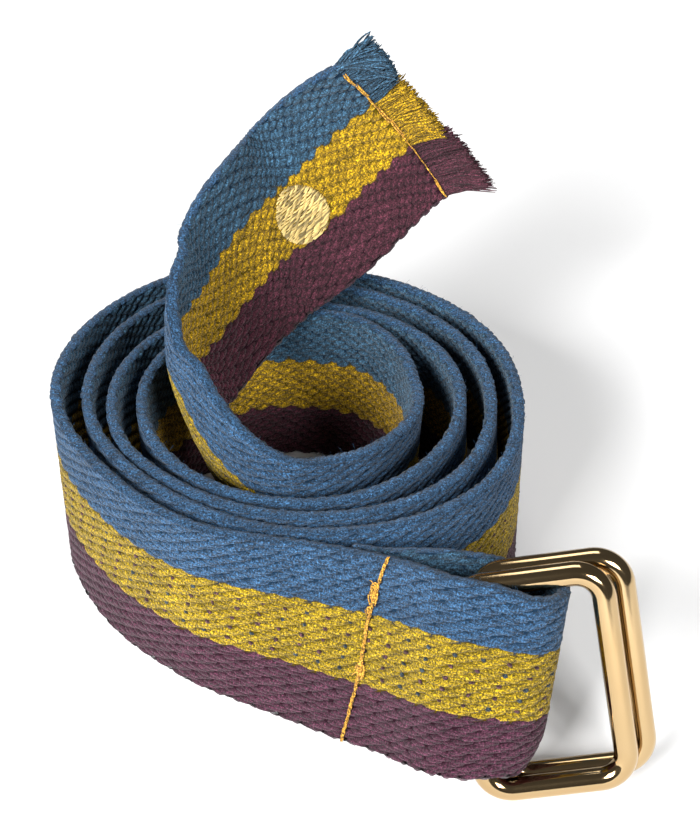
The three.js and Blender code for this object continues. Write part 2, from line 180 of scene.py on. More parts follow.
ring_spacing = WIRE + RING_GAP
outline = ring_outline(5)
lowest_near = (outline[:, 0] * ring_along[2] + outline[:, 1] * ring_up[2]).min()
lowest_far = lowest_near + ring_spacing * ring_back[2] + FAR_RING_SLIDE * ring_along[2]
held_bar = np.array([
    -RING_REACH * COIL_RADIUS * math.sin(math.radians(RING_TURN)),
    -RING_REACH * COIL_RADIUS * math.cos(math.radians(RING_TURN)),
    RING_FLOOR_GAP + WIRE / 2 - min(lowest_near, lowest_far),
])
skew = math.radians(LOOP_SKEW)
loop_along = ring_along * math.cos(skew) - ring_up * math.sin(skew)
loop_across = ring_up * math.cos(skew) + ring_along * math.sin(skew)
layer_offset = WIRE / 2 + LYING_GAP + THICKNESS / 2
fold_radius = (ring_spacing + 2 * layer_offset) / 2


def loop_section(along, back, heading):
    squeeze = np.clip((along - LOOP_SQUEEZE_START) / (LOOP_LENGTH - LOOP_SQUEEZE_START), 0, 1)
    middle = held_bar + ring_up * LOOP_LIFT + loop_along * along + ring_back * back
    return [middle, unit(heading), loop_across, 0.0, 1 + (LOOP_SQUEEZE - 1) * squeeze]


def join(start, end, step):
    """Sections on a smooth curve from one section to the next."""
    reach = np.linalg.norm(end[0] - start[0]) / 3
    a, b, c, d = start[0], start[0] + start[1] * reach, end[0] - end[1] * reach, end[0]
    count = math.ceil(3 * reach / step)
    rows = []
    for t in np.arange(1, count) / count:
        middle = (1 - t) ** 3 * a + 3 * (1 - t) ** 2 * t * b + 3 * (1 - t) * t * t * c + t ** 3 * d
        slope = (1 - t) ** 2 * (b - a) + 2 * (1 - t) * t * (c - b) + t * t * (d - c)
        across = unit(start[2] * (1 - t) + end[2] * t)
        rows.append([middle, unit(slope), across, 0.0, start[4] * (1 - t) + end[4] * t])
    return rows


STEP = 1.2


def webbing_rows():
    """All sections of the webbing, from the cut end behind the seam to the tip."""
    back = ring_spacing + layer_offset
    behind = []
    for turn in np.linspace(CUT_END_TURN, SEAM_TURN, 5):
        middle, along, across, curl, width = coil_section(turn)
        behind.append([middle - np.cross(across, along) * (THICKNESS + LYING_GAP), -along, across, curl, width])
    back_layer = [loop_section(a, back, loop_along) for a in np.linspace(-LOOP_BACK_REACH, LOOP_LENGTH, 9)]
    fold = []
    for angle in np.linspace(0, math.pi, 18)[1:-1]:
        heading = loop_along * math.cos(angle) - ring_back * math.sin(angle)
        reach = LOOP_LENGTH + fold_radius * math.sin(angle)
        fold.append(loop_section(reach, back - fold_radius * (1 - math.cos(angle)), heading))
    front = [loop_section(a, -layer_offset, -loop_along) for a in np.linspace(LOOP_LENGTH, -LOOP_FRONT_REACH, 11)]
    coil = []
    turn = float(SEAM_TURN)
    while turn < TIP_TURN:
        coil.append(coil_section(turn))
        turn += math.degrees(STEP / max(read_run("reach", turn) * COIL_RADIUS, THICKNESS))
    coil.append(coil_section(TIP_TURN))
    rows = behind + join(behind[-1], back_layer[0], STEP) + back_layer + fold + front
    rows += join(front[-1], coil[0], STEP)
    return rows, len(rows), coil


rows, seam_row, coil_rows = webbing_rows()
rows += coil_rows
middles, alongs, acrosses = (np.array([row[k] for row in rows]) for k in range(3))
curls, widths = (np.array([row[k] for row in rows]) for k in (3, 4))

# The seam's join is eased so that the cloth runs over it without a kink
ease = np.exp(-(((np.arange(len(rows)) - seam_row + 5) / 9.0) ** 2))[:, None]
for _ in range(60):
    for lines in (middles, acrosses):
        lines[1:-1] += 0.5 * ease[1:-1] * (0.5 * (lines[:-2] + lines[2:]) - lines[1:-1])
# So is the foot of the rising end, where the cloth begins to curl
foot_row = int(np.argmax(abs(curls) > math.radians(12)))
ease = np.exp(-(((np.arange(len(rows)) - foot_row + 3) / 13.0) ** 2))
for _ in range(110):
    for lines in (middles, acrosses, curls):
        amount = ease if lines.ndim == 1 else ease[:, None]
        lines[1:-1] += 0.5 * amount[1:-1] * (0.5 * (lines[:-2] + lines[2:]) - lines[1:-1])
alongs = unit(np.gradient(middles, axis=0))
acrosses = unit(acrosses - alongs * (acrosses * alongs).sum(1, keepdims=True))
distance = np.concatenate([[0], np.cumsum(np.linalg.norm(np.diff(middles, axis=0), axis=1))])
LENGTH = distance[-1]
SEAM = distance[seam_row]
FOLD_LINE = distance[int((middles[:seam_row] @ loop_along).argmax())]


def cloth(u, v, height):
    """Points of the webbing: u mm from the cut end, v mm up from the lower edge, height off its middle."""
    u, v, height = np.broadcast_arrays(u, v, height)
    shape = u.shape
    u, v, height = (np.asarray(a, float).ravel() for a in (u, v, height))

    def at(values):
        if values.ndim == 1:
            return np.interp(u, distance, values)
        return np.stack([np.interp(u, distance, values[:, k]) for k in range(3)], -1)

    along, across = at(alongs), at(acrosses)
    face = unit(np.cross(across, along))
    spread = (v - WIDTH / 2) * at(widths)
    bend = at(curls) / WIDTH
    safe = np.where(abs(bend) < 1e-6, 1e-6, bend)
    up = (np.sin(safe * spread) / safe + height * np.sin(bend * spread))[:, None]
    out = (height * np.cos(bend * spread) - (1 - np.cos(safe * spread)) / safe)[:, None]
    places = at(middles) + across * up + face * out
    bunch = np.exp(-(((u - FOLD_LINE) / 8.0) ** 2)) * np.clip(1 - v / CORNER_HEIGHT, 0, 1) ** 2
    places += bunch[:, None] * CORNER_PULL * (0.35 * loop_across - loop_along)
    return places.reshape(*shape, 3)


# The solids are centred over the origin: their box says how far the layout moves
edge_u = np.linspace(0, LENGTH, 2400)
reach_x = np.concatenate([cloth(edge_u, v, side * THICKNESS / 2) for v in (0, WIDTH) for side in (-1, 1)])
webbing_low, webbing_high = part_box("webbing")
shift = np.array([
    webbing_high[0] - reach_x[:, 0].max() * MM,
    webbing_low[1] - reach_x[:, 1].min() * MM,
    0,
])
print("layout moved by", shift, "seam", SEAM, "length", LENGTH)


def to_row(points):
    return np.asarray(points) * MM + shift


class Value:
    """A socket in a node tree, with arithmetic that adds Math nodes."""

    def __init__(self, tree, socket):
        self.tree, self.socket = tree, socket

    def _math(self, operation, *values):
        return self.tree.node("ShaderNodeMath", {"operation": operation}, list(values))

    def __add__(self, other):
        return self._math("ADD", self, other)

    def __sub__(self, other):
        return self._math("SUBTRACT", self, other)

    def __rsub__(self, other):
        return self._math("SUBTRACT", other, self)

    def __mul__(self, other):
        return self._math("MULTIPLY", self, other)

    def __pow__(self, other):
        return self._math("POWER", self, other)

    __radd__ = __add__
    __rmul__ = __mul__


class Finish:
    """A material on one Principled shader; node() adds any node and returns its first output."""

    def __init__(self, name, **constants):
        self.material = bpy.data.materials.new(name)
        self.material.use_nodes = True
        self.nodes = self.material.node_tree.nodes
        self.links = self.material.node_tree.links
        self.shader = self.nodes["Principled BSDF"]
        for socket, value in constants.items():
            self.shader.inputs[socket.replace("_", " ")].default_value = value

    def plug(self, socket, value):
        if isinstance(value, Value):
            self.links.new(value.socket, socket)
        elif value is not None:
            socket.default_value = value

    def node(self, kind, settings, values, output=0):
        made = self.nodes.new(kind)
        for key, setting in settings.items():
            if key == "stops":
                elements = made.color_ramp.elements
                while len(elements) < len(setting):
                    elements.new(0.5)
                for element, (place, colour) in zip(elements, setting):
                    element.position, element.color = place, colour
            else:
                setattr(made, key, setting)
        pairs = values.items() if isinstance(values, dict) else enumerate(values)
        for key, value in pairs:
            self.plug(made.inputs[key], value)
        return Value(self, made.outputs[output])

    def mix(self, factor, a, b, blend="MIX"):
        made = self.nodes.new("ShaderNodeMix")
        made.data_type, made.blend_type = "RGBA", blend
        for key, value in ((0, factor), (6, a), (7, b)):
            self.plug(made.inputs[key], value)
        return Value(self, made.outputs[2])

    def attribute(self, name, output=0):
        return self.node("ShaderNodeAttribute", {"attribute_name": name}, {}, output)

    def noise(self, vector, scale, detail=2.0, roughness=0.5):
        return self.node("ShaderNodeTexNoise", {}, {
            "Vector": vector, "Scale": scale, "Detail": detail, "Roughness": roughness})

    def mapped(self, vector, scale, rotation=(0, 0, 0)):
        return self.node("ShaderNodeMapping", {}, {"Vector": vector, "Scale": scale, "Rotation": rotation})

    def uv(self):
        return self.node("ShaderNodeTexCoord", {}, {}, "UV")

    def object_place(self):
        return self.node("ShaderNodeTexCoord", {}, {}, "Object")

    def set(self, socket, value):
        self.plug(self.shader.inputs[socket], value)

    def bump(self, height, strength, depth):
        normal = self.node("ShaderNodeBump", {}, {"Strength": strength, "Distance": depth, "Height": height})
        self.set("Normal", normal)


def yarn_finish(name, valley_shade, bump_depth):
    """Cotton yarn: its dye comes with the piece, with painted shade darkening the low parts of each float, and fibres
    along the yarn.
    """
    finish = Finish(name, Roughness=0.9, Sheen_Weight=0.12, Sheen_Roughness=0.5, Specular_IOR_Level=0.2)
    dye = finish.attribute("dye")
    crest = finish.attribute("crest", 2)
    fibres = finish.noise(finish.mapped(finish.uv(), (1.1, 6.5, 1.0), (0, 0, 0.5)), 1.5, 3.0, 0.7)
    speckle = finish.noise(finish.object_place(), 2900.0, 3.0, 0.7)
    patches = finish.noise(finish.object_place(), 160.0, 2.0, 0.5)
    light = (fibres ** 2.4 * 5.2) * (speckle ** 4.0 * 15.0) * (patches * 0.7 + 0.65)
    # Painted shade: the colour drops with the float's crest height, darkest in the valleys between floats
    shade = (crest * (1 - valley_shade) + valley_shade) * light
    finish.set("Base Color", finish.mix(1.0, dye, shade, "MULTIPLY"))
    finish.bump(fibres + speckle, 0.8, bump_depth)
    return finish.material


def ground_finish():
    """The tight cloth between the floats; its dyes come darkened from the piece as painted shade."""
    finish = Finish("webbing_ground", Roughness=0.95, Specular_IOR_Level=0.1)
    speckle = finish.noise(finish.object_place(), 1900.0, 2.0, 0.6)
    finish.set("Base Color", finish.mix(1.0, finish.attribute("dye"), speckle * 1.4 + 0.2, "MULTIPLY"))
    finish.bump(speckle, 0.5, 0.0001)
    return finish.material


def gold_finish():
    """Polished pale gold plating, with the faint swirl of fine polishing marks."""
    finish = Finish("ring_gold", Metallic=1.0)
    haze = finish.noise(finish.object_place(), 900.0, 3.0, 0.6)
    broad = finish.noise(finish.object_place(), 60.0, 2.0, 0.5)
    finish.set("Base Color", finish.mix(broad, (0.42, 0.28, 0.13, 1), (0.5, 0.37, 0.21, 1)))
    finish.set("Roughness", haze * 0.05 + broad * 0.05 + 0.05)
    finish.bump(haze, 0.05, 0.00002)
    return finish.material


yarn = yarn_finish("webbing_yarn", 0.4, 0.00016)
strand_yarn = yarn_finish("fringe_yarn", 0.3, 0.00006)
thread = yarn_finish("gold_thread", 0.3, 0.00005)
ground = ground_finish()
gold = gold_finish()


def finished(mesh_object, material):
    mesh_object.data.materials.append(material)
    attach(mesh_object, "root")
    return mesh_object


def mesh_piece(name, points, faces, dyes=None, crests=None, uvs=None):
    """A smooth-shaded piece from points in the layout's millimetres."""
    mesh = bpy.data.meshes.new(name)
    mesh.from_pydata(to_row(points).tolist(), [], faces.tolist())
    mesh.update()
    mesh.shade_smooth()
    if dyes is not None:
        layer = mesh.attributes.new("dye", "FLOAT_COLOR", "POINT")
        layer.data.foreach_set("color", np.c_[dyes, np.ones(len(dyes))].astype(np.float32).ravel())
    if crests is not None:
        layer = mesh.attributes.new("crest", "FLOAT", "POINT")
        layer.data.foreach_set("value", np.asarray(crests, np.float32))
    if uvs is not None:
        layer = mesh.uv_layers.new(name="UVMap")
        layer.data.foreach_set("uv", uvs[faces.ravel()].astype(np.float32).ravel())
    piece = bpy.data.objects.new(name, mesh)
    bpy.context.scene.collection.objects.link(piece)
    return piece


def stripe_dyes(v, side=1):
    """Dyes of the three stripes; the upper one starts a little higher on the outer face."""
    v = np.asarray(v)[..., None]
    low_edge, high_edge = WIDTH / 3, WIDTH * 2 / 3 + (1.1 if side > 0 else 0)
    plum, mustard, blue = (PLUM, MUSTARD, BLUE) if side > 0 else (INNER_PLUM, INNER_MUSTARD, INNER_BLUE)
    return np.where(v < low_edge, plum, np.where(v < high_edge, mustard, blue))


def model_float():
    """One float of yarn over the weave: a small grid, narrowed and domed."""
    bpy.ops.object.select_all(action="DESELECT")
    bpy.ops.mesh.primitive_grid_add(x_subdivisions=4, y_subdivisions=3, size=2)
    pattern = bpy.context.object
    narrowing = [0.5, 0.92, 1.0, 0.92, 0.5]
    doming = [0.15, 0.86, 1.0, 0.86, 0.15]
    xs = sorted({round(v.co.x, 4) for v in pattern.data.vertices})
    for vertex in pattern.data.vertices:
        column = min(range(5), key=lambda k: abs(xs[k] - vertex.co.x))
        side = abs(vertex.co.y) > 0.5
        vertex.co.y *= narrowing[column] * (1.0 if side else 1.6)
        vertex.co.z = 0.0 if side else doming[column]
    points = np.array([v.co[:] for v in pattern.data.vertices])
    faces = np.array([p.vertices[:] for p in pattern.data.polygons])
    bpy.data.objects.remove(pattern)
    return points, faces


FLOAT_POINTS, FLOAT_FACES = model_float()
GROUND_HALF = 0.74
YARN_PITCH, FLOAT_PITCH = 0.77, 4.5
# How the floats of the two faces lie: shift from yarn to yarn, slant, length, width and height
WEAVES = {
    1: {"shift": 1.67, "slant": -4, "size": (4.95, 1.25, 0.46)},
    -1: {"shift": 1.43, "slant": 17, "size": (3.1, 1.6, 0.54)},
}


def float_rows(side, from_u, to_u):
    """Middles of the floats: one warp yarn after the other, each shifted along the rib."""
    places = []
    for i, v in enumerate(np.arange(0.75, WIDTH - 0.5, YARN_PITCH)):
        start = from_u + (-i * WEAVES[side]["shift"] - from_u) % FLOAT_PITCH
        u = np.arange(start, to_u, FLOAT_PITCH)
        places.append(np.c_[u, np.full(len(u), v)])
    return np.concatenate(places)


def laid(name, places, turn, size, side, base, dyes):
    """Copies of the float on one face at the given places, joined in one piece."""
    count = len(places)
    x = FLOAT_POINTS[:, 0] * size[:, :1] / 2
    y = FLOAT_POINTS[:, 1] * size[:, 1:2] / 2
    z = FLOAT_POINTS[:, 2] * size[:, 2:] + base
    u = places[:, :1] + x * np.cos(turn)[:, None] - y * np.sin(turn)[:, None]
    v = places[:, 1:] + x * np.sin(turn)[:, None] + y * np.cos(turn)[:, None]
    points = cloth(np.clip(u, 0, LENGTH), np.clip(v, 0.15, WIDTH - 0.15), side * z)
    faces = FLOAT_FACES if side > 0 else FLOAT_FACES[:, ::-1]
    faces = (faces[None] + (np.arange(count) * len(FLOAT_POINTS))[:, None, None]).reshape(-1, 4)
    dyes = np.repeat(dyes, len(FLOAT_POINTS), axis=0)
    # The float's height profile, which the yarn finish turns into painted shade in its low parts
    crests = np.tile(FLOAT_POINTS[:, 2], count)
    uvs = np.stack([x + np.arange(count)[:, None] * 3.7, y], -1).reshape(-1, 2)
    piece = mesh_piece(name, points.reshape(-1, 3), faces, dyes, crests, uvs)
    return finished(piece, yarn)


def weave(name, side, from_u, to_u):
    """The floats of one face over one stretch of the webbing."""
    facts = WEAVES[side]
    places = float_rows(side, from_u, to_u)
    count = len(places)
    dyes = stripe_dyes(places[:, 1], side) * rng.normal(1, 0.08, (count, 1))
    places = places + rng.normal(0, 0.06, places.shape)
    turn = math.radians(facts["slant"]) + rng.normal(0, 0.05, count)
    size = rng.normal(1, 0.06, (count, 3)) * facts["size"]
    row = np.round((places[:, 1] - 0.75) / YARN_PITCH).astype(int)
    size[row % 3 == 0, 0] *= 0.8 if side > 0 else 1.0
    return laid(name, places, turn, size, side, GROUND_HALF - 0.06, dyes)


def weft_specks():
    """Dark weft that shows in the slits of the mustard stripe's outer face, at every third yarn."""
    places = float_rows(1, 0.8, LENGTH - 0.8)
    row = np.round((places[:, 1] - 0.75) / YARN_PITCH).astype(int)
    keep = (row % 3 == 0) & (places[:, 1] > WIDTH / 3 + 0.6) & (places[:, 1] < WIDTH * 2 / 3 + 0.6)
    places = places + [FLOAT_PITCH / 2, 0]
    places = places[keep] + rng.normal(0, 0.12, (keep.sum(), 2))
    count = len(places)
    dyes = np.where(rng.random((count, 1)) < 0.7, (0.055, 0.022, 0.026), (0.022, 0.035, 0.045))
    size = rng.normal(1, 0.15, (count, 3)) * (0.95, 0.8, 0.3)
    return laid("weft_specks", places, rng.normal(0.5, 0.3, count), size, 1, GROUND_HALF + 0.1, dyes)


def selvedge(name, top):
    """The yarn turning round one long edge: a row of slanted, overlapping loops."""
    pitch = 1.9
    u = np.arange(0.6, LENGTH - 0.6, pitch)
    count = len(u)
    slant = math.radians(20) * (1 if top else -1) + rng.normal(0, 0.06, count)
    x, y, z = (FLOAT_POINTS[:, k][None] for k in range(3))
    x = x * 1.75 * rng.normal(1, 0.06, (count, 1))
    y = y * 1.05 * rng.normal(1, 0.05, (count, 1))
    du = x * np.cos(slant)[:, None] - y * np.sin(slant)[:, None]
    height = x * np.sin(slant)[:, None] + y * np.cos(slant)[:, None]
    bulge = 0.34 if top else 0.42
    extra = (0.1 if top else 0.34) * (np.arange(count) % 2)[:, None]
    rise = 0.62 - z * (bulge + extra)
    v = WIDTH - rise if top else rise
    points = cloth(np.clip(u[:, None] + du, 0, LENGTH), v, height)
    faces = FLOAT_FACES[:, ::-1] if top else FLOAT_FACES
    faces = (faces[None] + (np.arange(count) * len(FLOAT_POINTS))[:, None, None]).reshape(-1, 4)
    dyes = np.array(BLUE if top else PLUM) * rng.normal(1, 0.08, (count, 1))
    dyes = np.repeat(dyes, len(FLOAT_POINTS), axis=0)
    uvs = np.stack([x + np.arange(count)[:, None] * 3.7, np.broadcast_to(y, x.shape)], -1).reshape(-1, 2)
    # The loop's height profile, which the yarn finish turns into painted shade in its low parts
    crests = np.tile(0.35 + 0.65 * FLOAT_POINTS[:, 2], count)
    return finished(mesh_piece(name, points.reshape(-1, 3), faces, dyes, crests, uvs), yarn)


def fuzz(name, count, low, high, dye):
    """Short loose fibres that stand off an edge."""
    u = rng.uniform(1, LENGTH - 1, count)
    v = rng.uniform(low, high, count)
    off = rng.uniform(-1.1, 1.1, count)
    start = cloth(u, v, off)
    outward = cloth(u, v + (1.0 if high > WIDTH / 2 else -1.0), off * 1.6) - start
    length = rng.uniform(0.5, 1.3, (count, 1))
    aside = rng.normal(0, 0.6, (count, 3))
    end = start + unit(outward + aside) * length
    middle = (start + end) / 2 + rng.normal(0, 0.16, (count, 3))
    t = np.linspace(0, 1, 4)[:, None, None]
    paths = (1 - t) ** 2 * start + 2 * t * (1 - t) * middle + t ** 2 * end
    paths[..., 2] = np.maximum(paths[..., 2], 0.03)
    dyes = np.array(dye) * rng.uniform(0.9, 1.8, (count, 1))
    return strands(name, paths.transpose(1, 0, 2), [0.022] * count, dyes, 3, yarn)


def webbing_ground():
    """The cloth under the floats: one closed sheet with rounded long edges."""
    u = np.linspace(0, LENGTH, 900)
    level = np.linspace(0.9, WIDTH - 0.9, 25)
    v = np.concatenate([level, [WIDTH - 0.35], level[::-1], [0.35]])
    height = np.concatenate([np.full(25, GROUND_HALF), [0], np.full(25, -GROUND_HALF), [0]])
    ring = len(v)
    points = cloth(u[:, None], v[None], height[None]).reshape(-1, 3)
    j, i = np.meshgrid(np.arange(len(u) - 1), np.arange(ring), indexing="ij")
    k = (i + 1) % ring
    faces = np.stack([j * ring + i, j * ring + k, (j + 1) * ring + k, (j + 1) * ring + i], -1).reshape(-1, 4)
    last = (len(u) - 1) * ring
    ends = []
    for i in range(24):
        other = 50 - i
        ends.append([i, other, other - 1, i + 1])
        ends.append([last + i, last + i + 1, last + other - 1, last + other])
    ends += [[0, 51, 51, 50], [24, 26, 26, 25], [last, last + 50, last + 50, last + 51], [last + 24, last + 25, last + 25, last + 26]]
    ends = [e for e in ends if len(set(e)) == 4]
    faces = np.concatenate([faces, np.array(ends)])
    # The stripe dyes at 0.42: painted shade for the cloth that shows between the floats
    dyes = np.tile(stripe_dyes(v) * 0.42, (len(u), 1))
    piece = mesh_piece("webbing_cloth", points, faces, dyes)
    bpy.ops.object.select_all(action="DESELECT")
    bpy.context.view_layer.objects.active = piece
    piece.select_set(True)
    bpy.ops.object.mode_set(mode="EDIT")
    bpy.ops.mesh.select_all(action="SELECT")
    bpy.ops.mesh.fill_holes(sides=12)
    bpy.ops.mesh.normals_make_consistent(inside=False)
    bpy.ops.object.mode_set(mode="OBJECT")
    return finished(piece, ground)


def strands(name, paths, radii, dyes, sides, material):
    """Round strands along paths, each closed to a point at both ends, joined in one piece."""
    all_points, all_faces, all_dyes, all_uvs = [], [], [], []
    base = 0
    for path, radius, dye in zip(paths, radii, dyes):
        path = np.asarray(path, float)
        tangent = unit(np.gradient(path, axis=0))
        side = unit(np.cross(tangent, [0.31, 0.2, 0.93]))
        other = np.cross(tangent, side)
        count = len(path)
        taper = np.ones(count)
        taper[0] = taper[-1] = 0.5
        angles = 2 * np.pi * np.arange(sides) / sides
        circle = np.cos(angles)[None, :, None] * side[:, None] + np.sin(angles)[None, :, None] * other[:, None]
        points = path[:, None] + circle * (radius * taper)[:, None, None]
        j, i = np.meshgrid(np.arange(count - 1), np.arange(sides), indexing="ij")
        k = (i + 1) % sides
        faces = np.stack([j * sides + i, j * sides + k, (j + 1) * sides + k, (j + 1) * sides + i], -1)
        run = np.concatenate([[0], np.cumsum(np.linalg.norm(np.diff(path, axis=0), axis=1))])
        uvs = np.stack(np.broadcast_arrays(run[:, None] + base * 0.37, angles[None] * 0.3), -1)
        all_points.append(points.reshape(-1, 3))
        all_faces.append(faces.reshape(-1, 4) + base)
        all_dyes.append(np.tile(dye, (count * sides, 1)))
        all_uvs.append(uvs.reshape(-1, 2))
        base += count * sides
    points, faces = np.concatenate(all_points), np.concatenate(all_faces)
    piece = mesh_piece(
        name, points, faces, np.concatenate(all_dyes), np.full(len(points), 0.8), np.concatenate(all_uvs))
    return finished(piece, material)


def bent(start, control, end, steps=9):
    """A smooth path from start to end, pulled towards control."""
    t = np.linspace(0, 1, steps)[:, None]
    return (1 - t) ** 2 * start + 2 * t * (1 - t) * control + t ** 2 * end


# Frayed yarns of each stripe: where they start, and how far they reach past the tip, up the width and
# off the face, each at the stripe's lower and upper side
FRINGES = {
    "plum": {"span": (0.2, 12.6), "past": (9.6, 8.6), "up": (-3.4, -0.9), "off": (-0.4, -0.6), "dye": INNER_PLUM},
    "mustard": {"span": (12.8, 25.2), "past": (7.6, 7.3), "up": (-1.6, 0.1), "off": (0.0, 0.8), "dye": INNER_MUSTARD},
    "blue": {"span": (25.4, 37.8), "past": (6.8, 9.2), "up": (0.4, -0.2), "off": (2.0, -0.4), "dye": INNER_BLUE},
}


def fringe(colour, count=430):
    """One stripe's frayed yarns past the tip's stitching."""
    facts = FRINGES[colour]
    low, high = facts["span"]
    along, across = alongs[-1], acrosses[-1]
    paths, dyes, radii = [], [], []
    for _ in range(count):
        share = random.random()
        v = low + (high - low) * share
        bend = curls[-1] * (v / WIDTH - 0.5)
        face = np.cross(across, along)
        upwards = across * math.cos(bend) - face * math.sin(bend)
        outwards = face * math.cos(bend) + across * math.sin(bend)
        layer = random.uniform(-0.9, 0.9)
        start = cloth(np.array([LENGTH - 0.7]), np.array([v]), np.array([layer]))[0]
        past, up, off = (facts[k][0] + (facts[k][1] - facts[k][0]) * share for k in ("past", "up", "off"))
        comb = random.gauss(0, 1)
        if colour == "blue":
            up += share * (comb * 1.7 - 0.2)
            off += share * comb * 1.6
        past *= random.uniform(0.95, 1.02) if random.random() < 0.9 else random.uniform(0.6, 1.08)
        spread = 1 + 0.45 * abs(layer)
        control = start + along * past * 0.5 + upwards * (0.25 * up + (1.5 * share if colour == "blue" else 0.3))
        control = control + outwards * (layer * 0.9 + 0.25 * off)
        end = start + along * past + upwards * (up + random.gauss(0, 0.5)) + outwards * (
            off + layer * spread + random.gauss(0, 0.35))
        path = bent(start, control, end)
        wave = np.sin(np.linspace(0, random.uniform(6, 11), len(path)) + random.uniform(0, 6))[:, None]
        paths.append(path + wave * (upwards * random.gauss(0, 0.15) + outwards * random.gauss(0, 0.15)))
        dyes.append(np.array(facts["dye"]) * random.uniform(0.6, 1.45))
        radii.append(random.uniform(0.11, 0.2))
    piece = strands(f"fringe_yarns_{colour}", paths, radii, dyes, 5, strand_yarn)
    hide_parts(f"fringe_{colour}")
    return piece


def stitch(u0, v0, u1, v1, side, lift, steps=7):
    """A path of thread lying on one face from one hole to the next."""
    t = np.linspace(0, 1, steps)
    arch = np.sin(np.pi * t) ** 0.6
    height = side * (THICKNESS / 2 - 0.25 + (lift + 0.25) * arch)
    return cloth(u0 + (u1 - u0) * t, v0 + (v1 - v0) * t, height)


# Where the fold's line of stitches crosses the webbing, from its upper edge down: height and distance
FOLD_STITCHES = np.array([(38.4, 73.4), (30.9, 76.7), (23.9, 78.7), (15.5, 80.1), (7.2, 82.2), (0.3, 83.8)])


def fold_line(v):
    return np.interp(v, FOLD_STITCHES[::-1, 0], FOLD_STITCHES[::-1, 1])


def fold_stitching():
    """The line of thick gold thread that closes the loop, with its knots and loose ends."""
    paths, radii, dyes = [], [], []
    holes = np.linspace(WIDTH + 0.2, 0.2, 8)
    for high, low in zip(holes[:-1], holes[1:]):
        for ply in range(3):
            t = np.linspace(0, 1, 12)
            v = high + (low - high) * t
            twist = t * 9.0 + ply * 2 * math.pi / 3
            u = fold_line(v) + 0.19 * np.cos(twist)
            arch = THICKNESS / 2 + 0.12 + 0.3 * np.sin(np.pi * t) ** 0.5 - 0.1
            paths.append(cloth(u, np.clip(v, -0.3, WIDTH + 0.3), arch + 0.19 * np.sin(twist)))
            radii.append(0.17)
            dyes.append(np.array(GOLD_THREAD) * random.uniform(0.75, 1.15))
    for knot, size in ((30.9, 1.5), (27.5, 0.8), (15.5, 1.3)):
        for _ in range(int(6 * size)):
            centre_v = knot + random.gauss(0, 0.5 * size)
            centre_u = fold_line(centre_v) + random.gauss(0, 0.22)
            t = np.linspace(0, 2 * np.pi * 0.85, 11) + random.uniform(0, 6)
            size_u, size_v = random.uniform(0.3, 0.6) * size, random.uniform(0.6, 1.2) * size
            paths.append(cloth(
                centre_u + size_u * np.cos(t), centre_v + size_v * np.sin(t),
                THICKNESS / 2 + 0.45 + 0.25 * np.sin(t * 2.0)))
            radii.append(0.13)
            dyes.append(np.array(GOLD_THREAD) * random.uniform(0.8, 1.3))
    for centre_v, du, dv in ((31.6, -1.3, 0.5), (30.2, -1.1, -0.9), (32.0, 1.2, 1.4), (15.2, 1.3, -0.8)):
        t = np.linspace(0, 1, 6)
        u = fold_line(centre_v) + du * t
        paths.append(cloth(u, centre_v + dv * t + 0.3 * np.sin(3 * t), THICKNESS / 2 + 0.35 + 0.5 * t))
        radii.append(0.09)
        dyes.append(np.array(GOLD_THREAD) * 1.1)
    return strands("fold_stitching", paths, radii, dyes, 7, thread)


def tip_stitching():
    """The line of stitches that stops the tip from fraying further, thicker over the blue stripe."""
    paths, radii, dyes = [], [], []
    holes = np.linspace(35.6, 0.2, 10)
    for high, low in zip(holes[:-1], holes[1:]):
        thick = 1.45 if high > 19 or high < 8 else 0.8
        for side in (-1, 1):
            for ply in (-1, 1):
                u = LENGTH - 0.4 + ply * 0.12 * thick + random.gauss(0, 0.08)
                paths.append(stitch(u, high + 0.2, u + random.gauss(0, 0.15), low - 0.1, side, 0.3))
                radii.append(0.125 * thick)
                dyes.append(np.array(GOLD_THREAD) * random.uniform(0.85, 1.3))
    return strands("tip_stitching", paths, radii, dyes, 6, thread)


def embroidered_dot():
    """The round patch: short satin stitches side by side, raised in a low dome as if padded."""
    radius = DOT_DIAMETER / 2
    centre_u = DOT_LINE
    centre_v = WIDTH / 2 - 0.7
    paths, radii, dyes = [], [], []
    spacing, length = 0.36, 2.4
    angle = math.radians(8)
    for row, across in enumerate(np.arange(-radius + 0.2, radius, spacing)):
        half = math.sqrt(max(0.0, radius ** 2 - across ** 2))
        start = -half + random.uniform(-0.1, 0.1)
        cut = -half + (row * 0.83 % length)
        marks = [start] + [c for c in np.arange(cut, half, length) if start + 0.5 < c < half - 0.5] + [half]
        for a, b in zip(marks[:-1], marks[1:]):
            t = np.linspace(0, 1, 6)
            x = a + (b - a) * t
            y = across + random.gauss(0, 0.04) + 0.1 * np.sin(t * 6 + row)
            u = centre_u + x * math.cos(angle) - y * math.sin(angle)
            v = centre_v + x * math.sin(angle) + y * math.cos(angle)
            dome = 0.25 * (1 - (x ** 2 + y ** 2) / (radius ** 2 + 0.5))
            height = -(THICKNESS / 2 + 0.12 + dome + 0.16 * np.sin(np.pi * t) ** 0.7)
            paths.append(cloth(u, v, height))
            radii.append(0.19)
            dyes.append(np.array(DOT_THREAD) * random.choice((0.35, 0.75, 0.95, 1.1, 1.1)))
    piece = strands("dot_stitches", paths, radii, dyes, 6, lustrous)
    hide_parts("embroidered_dot")
    return piece


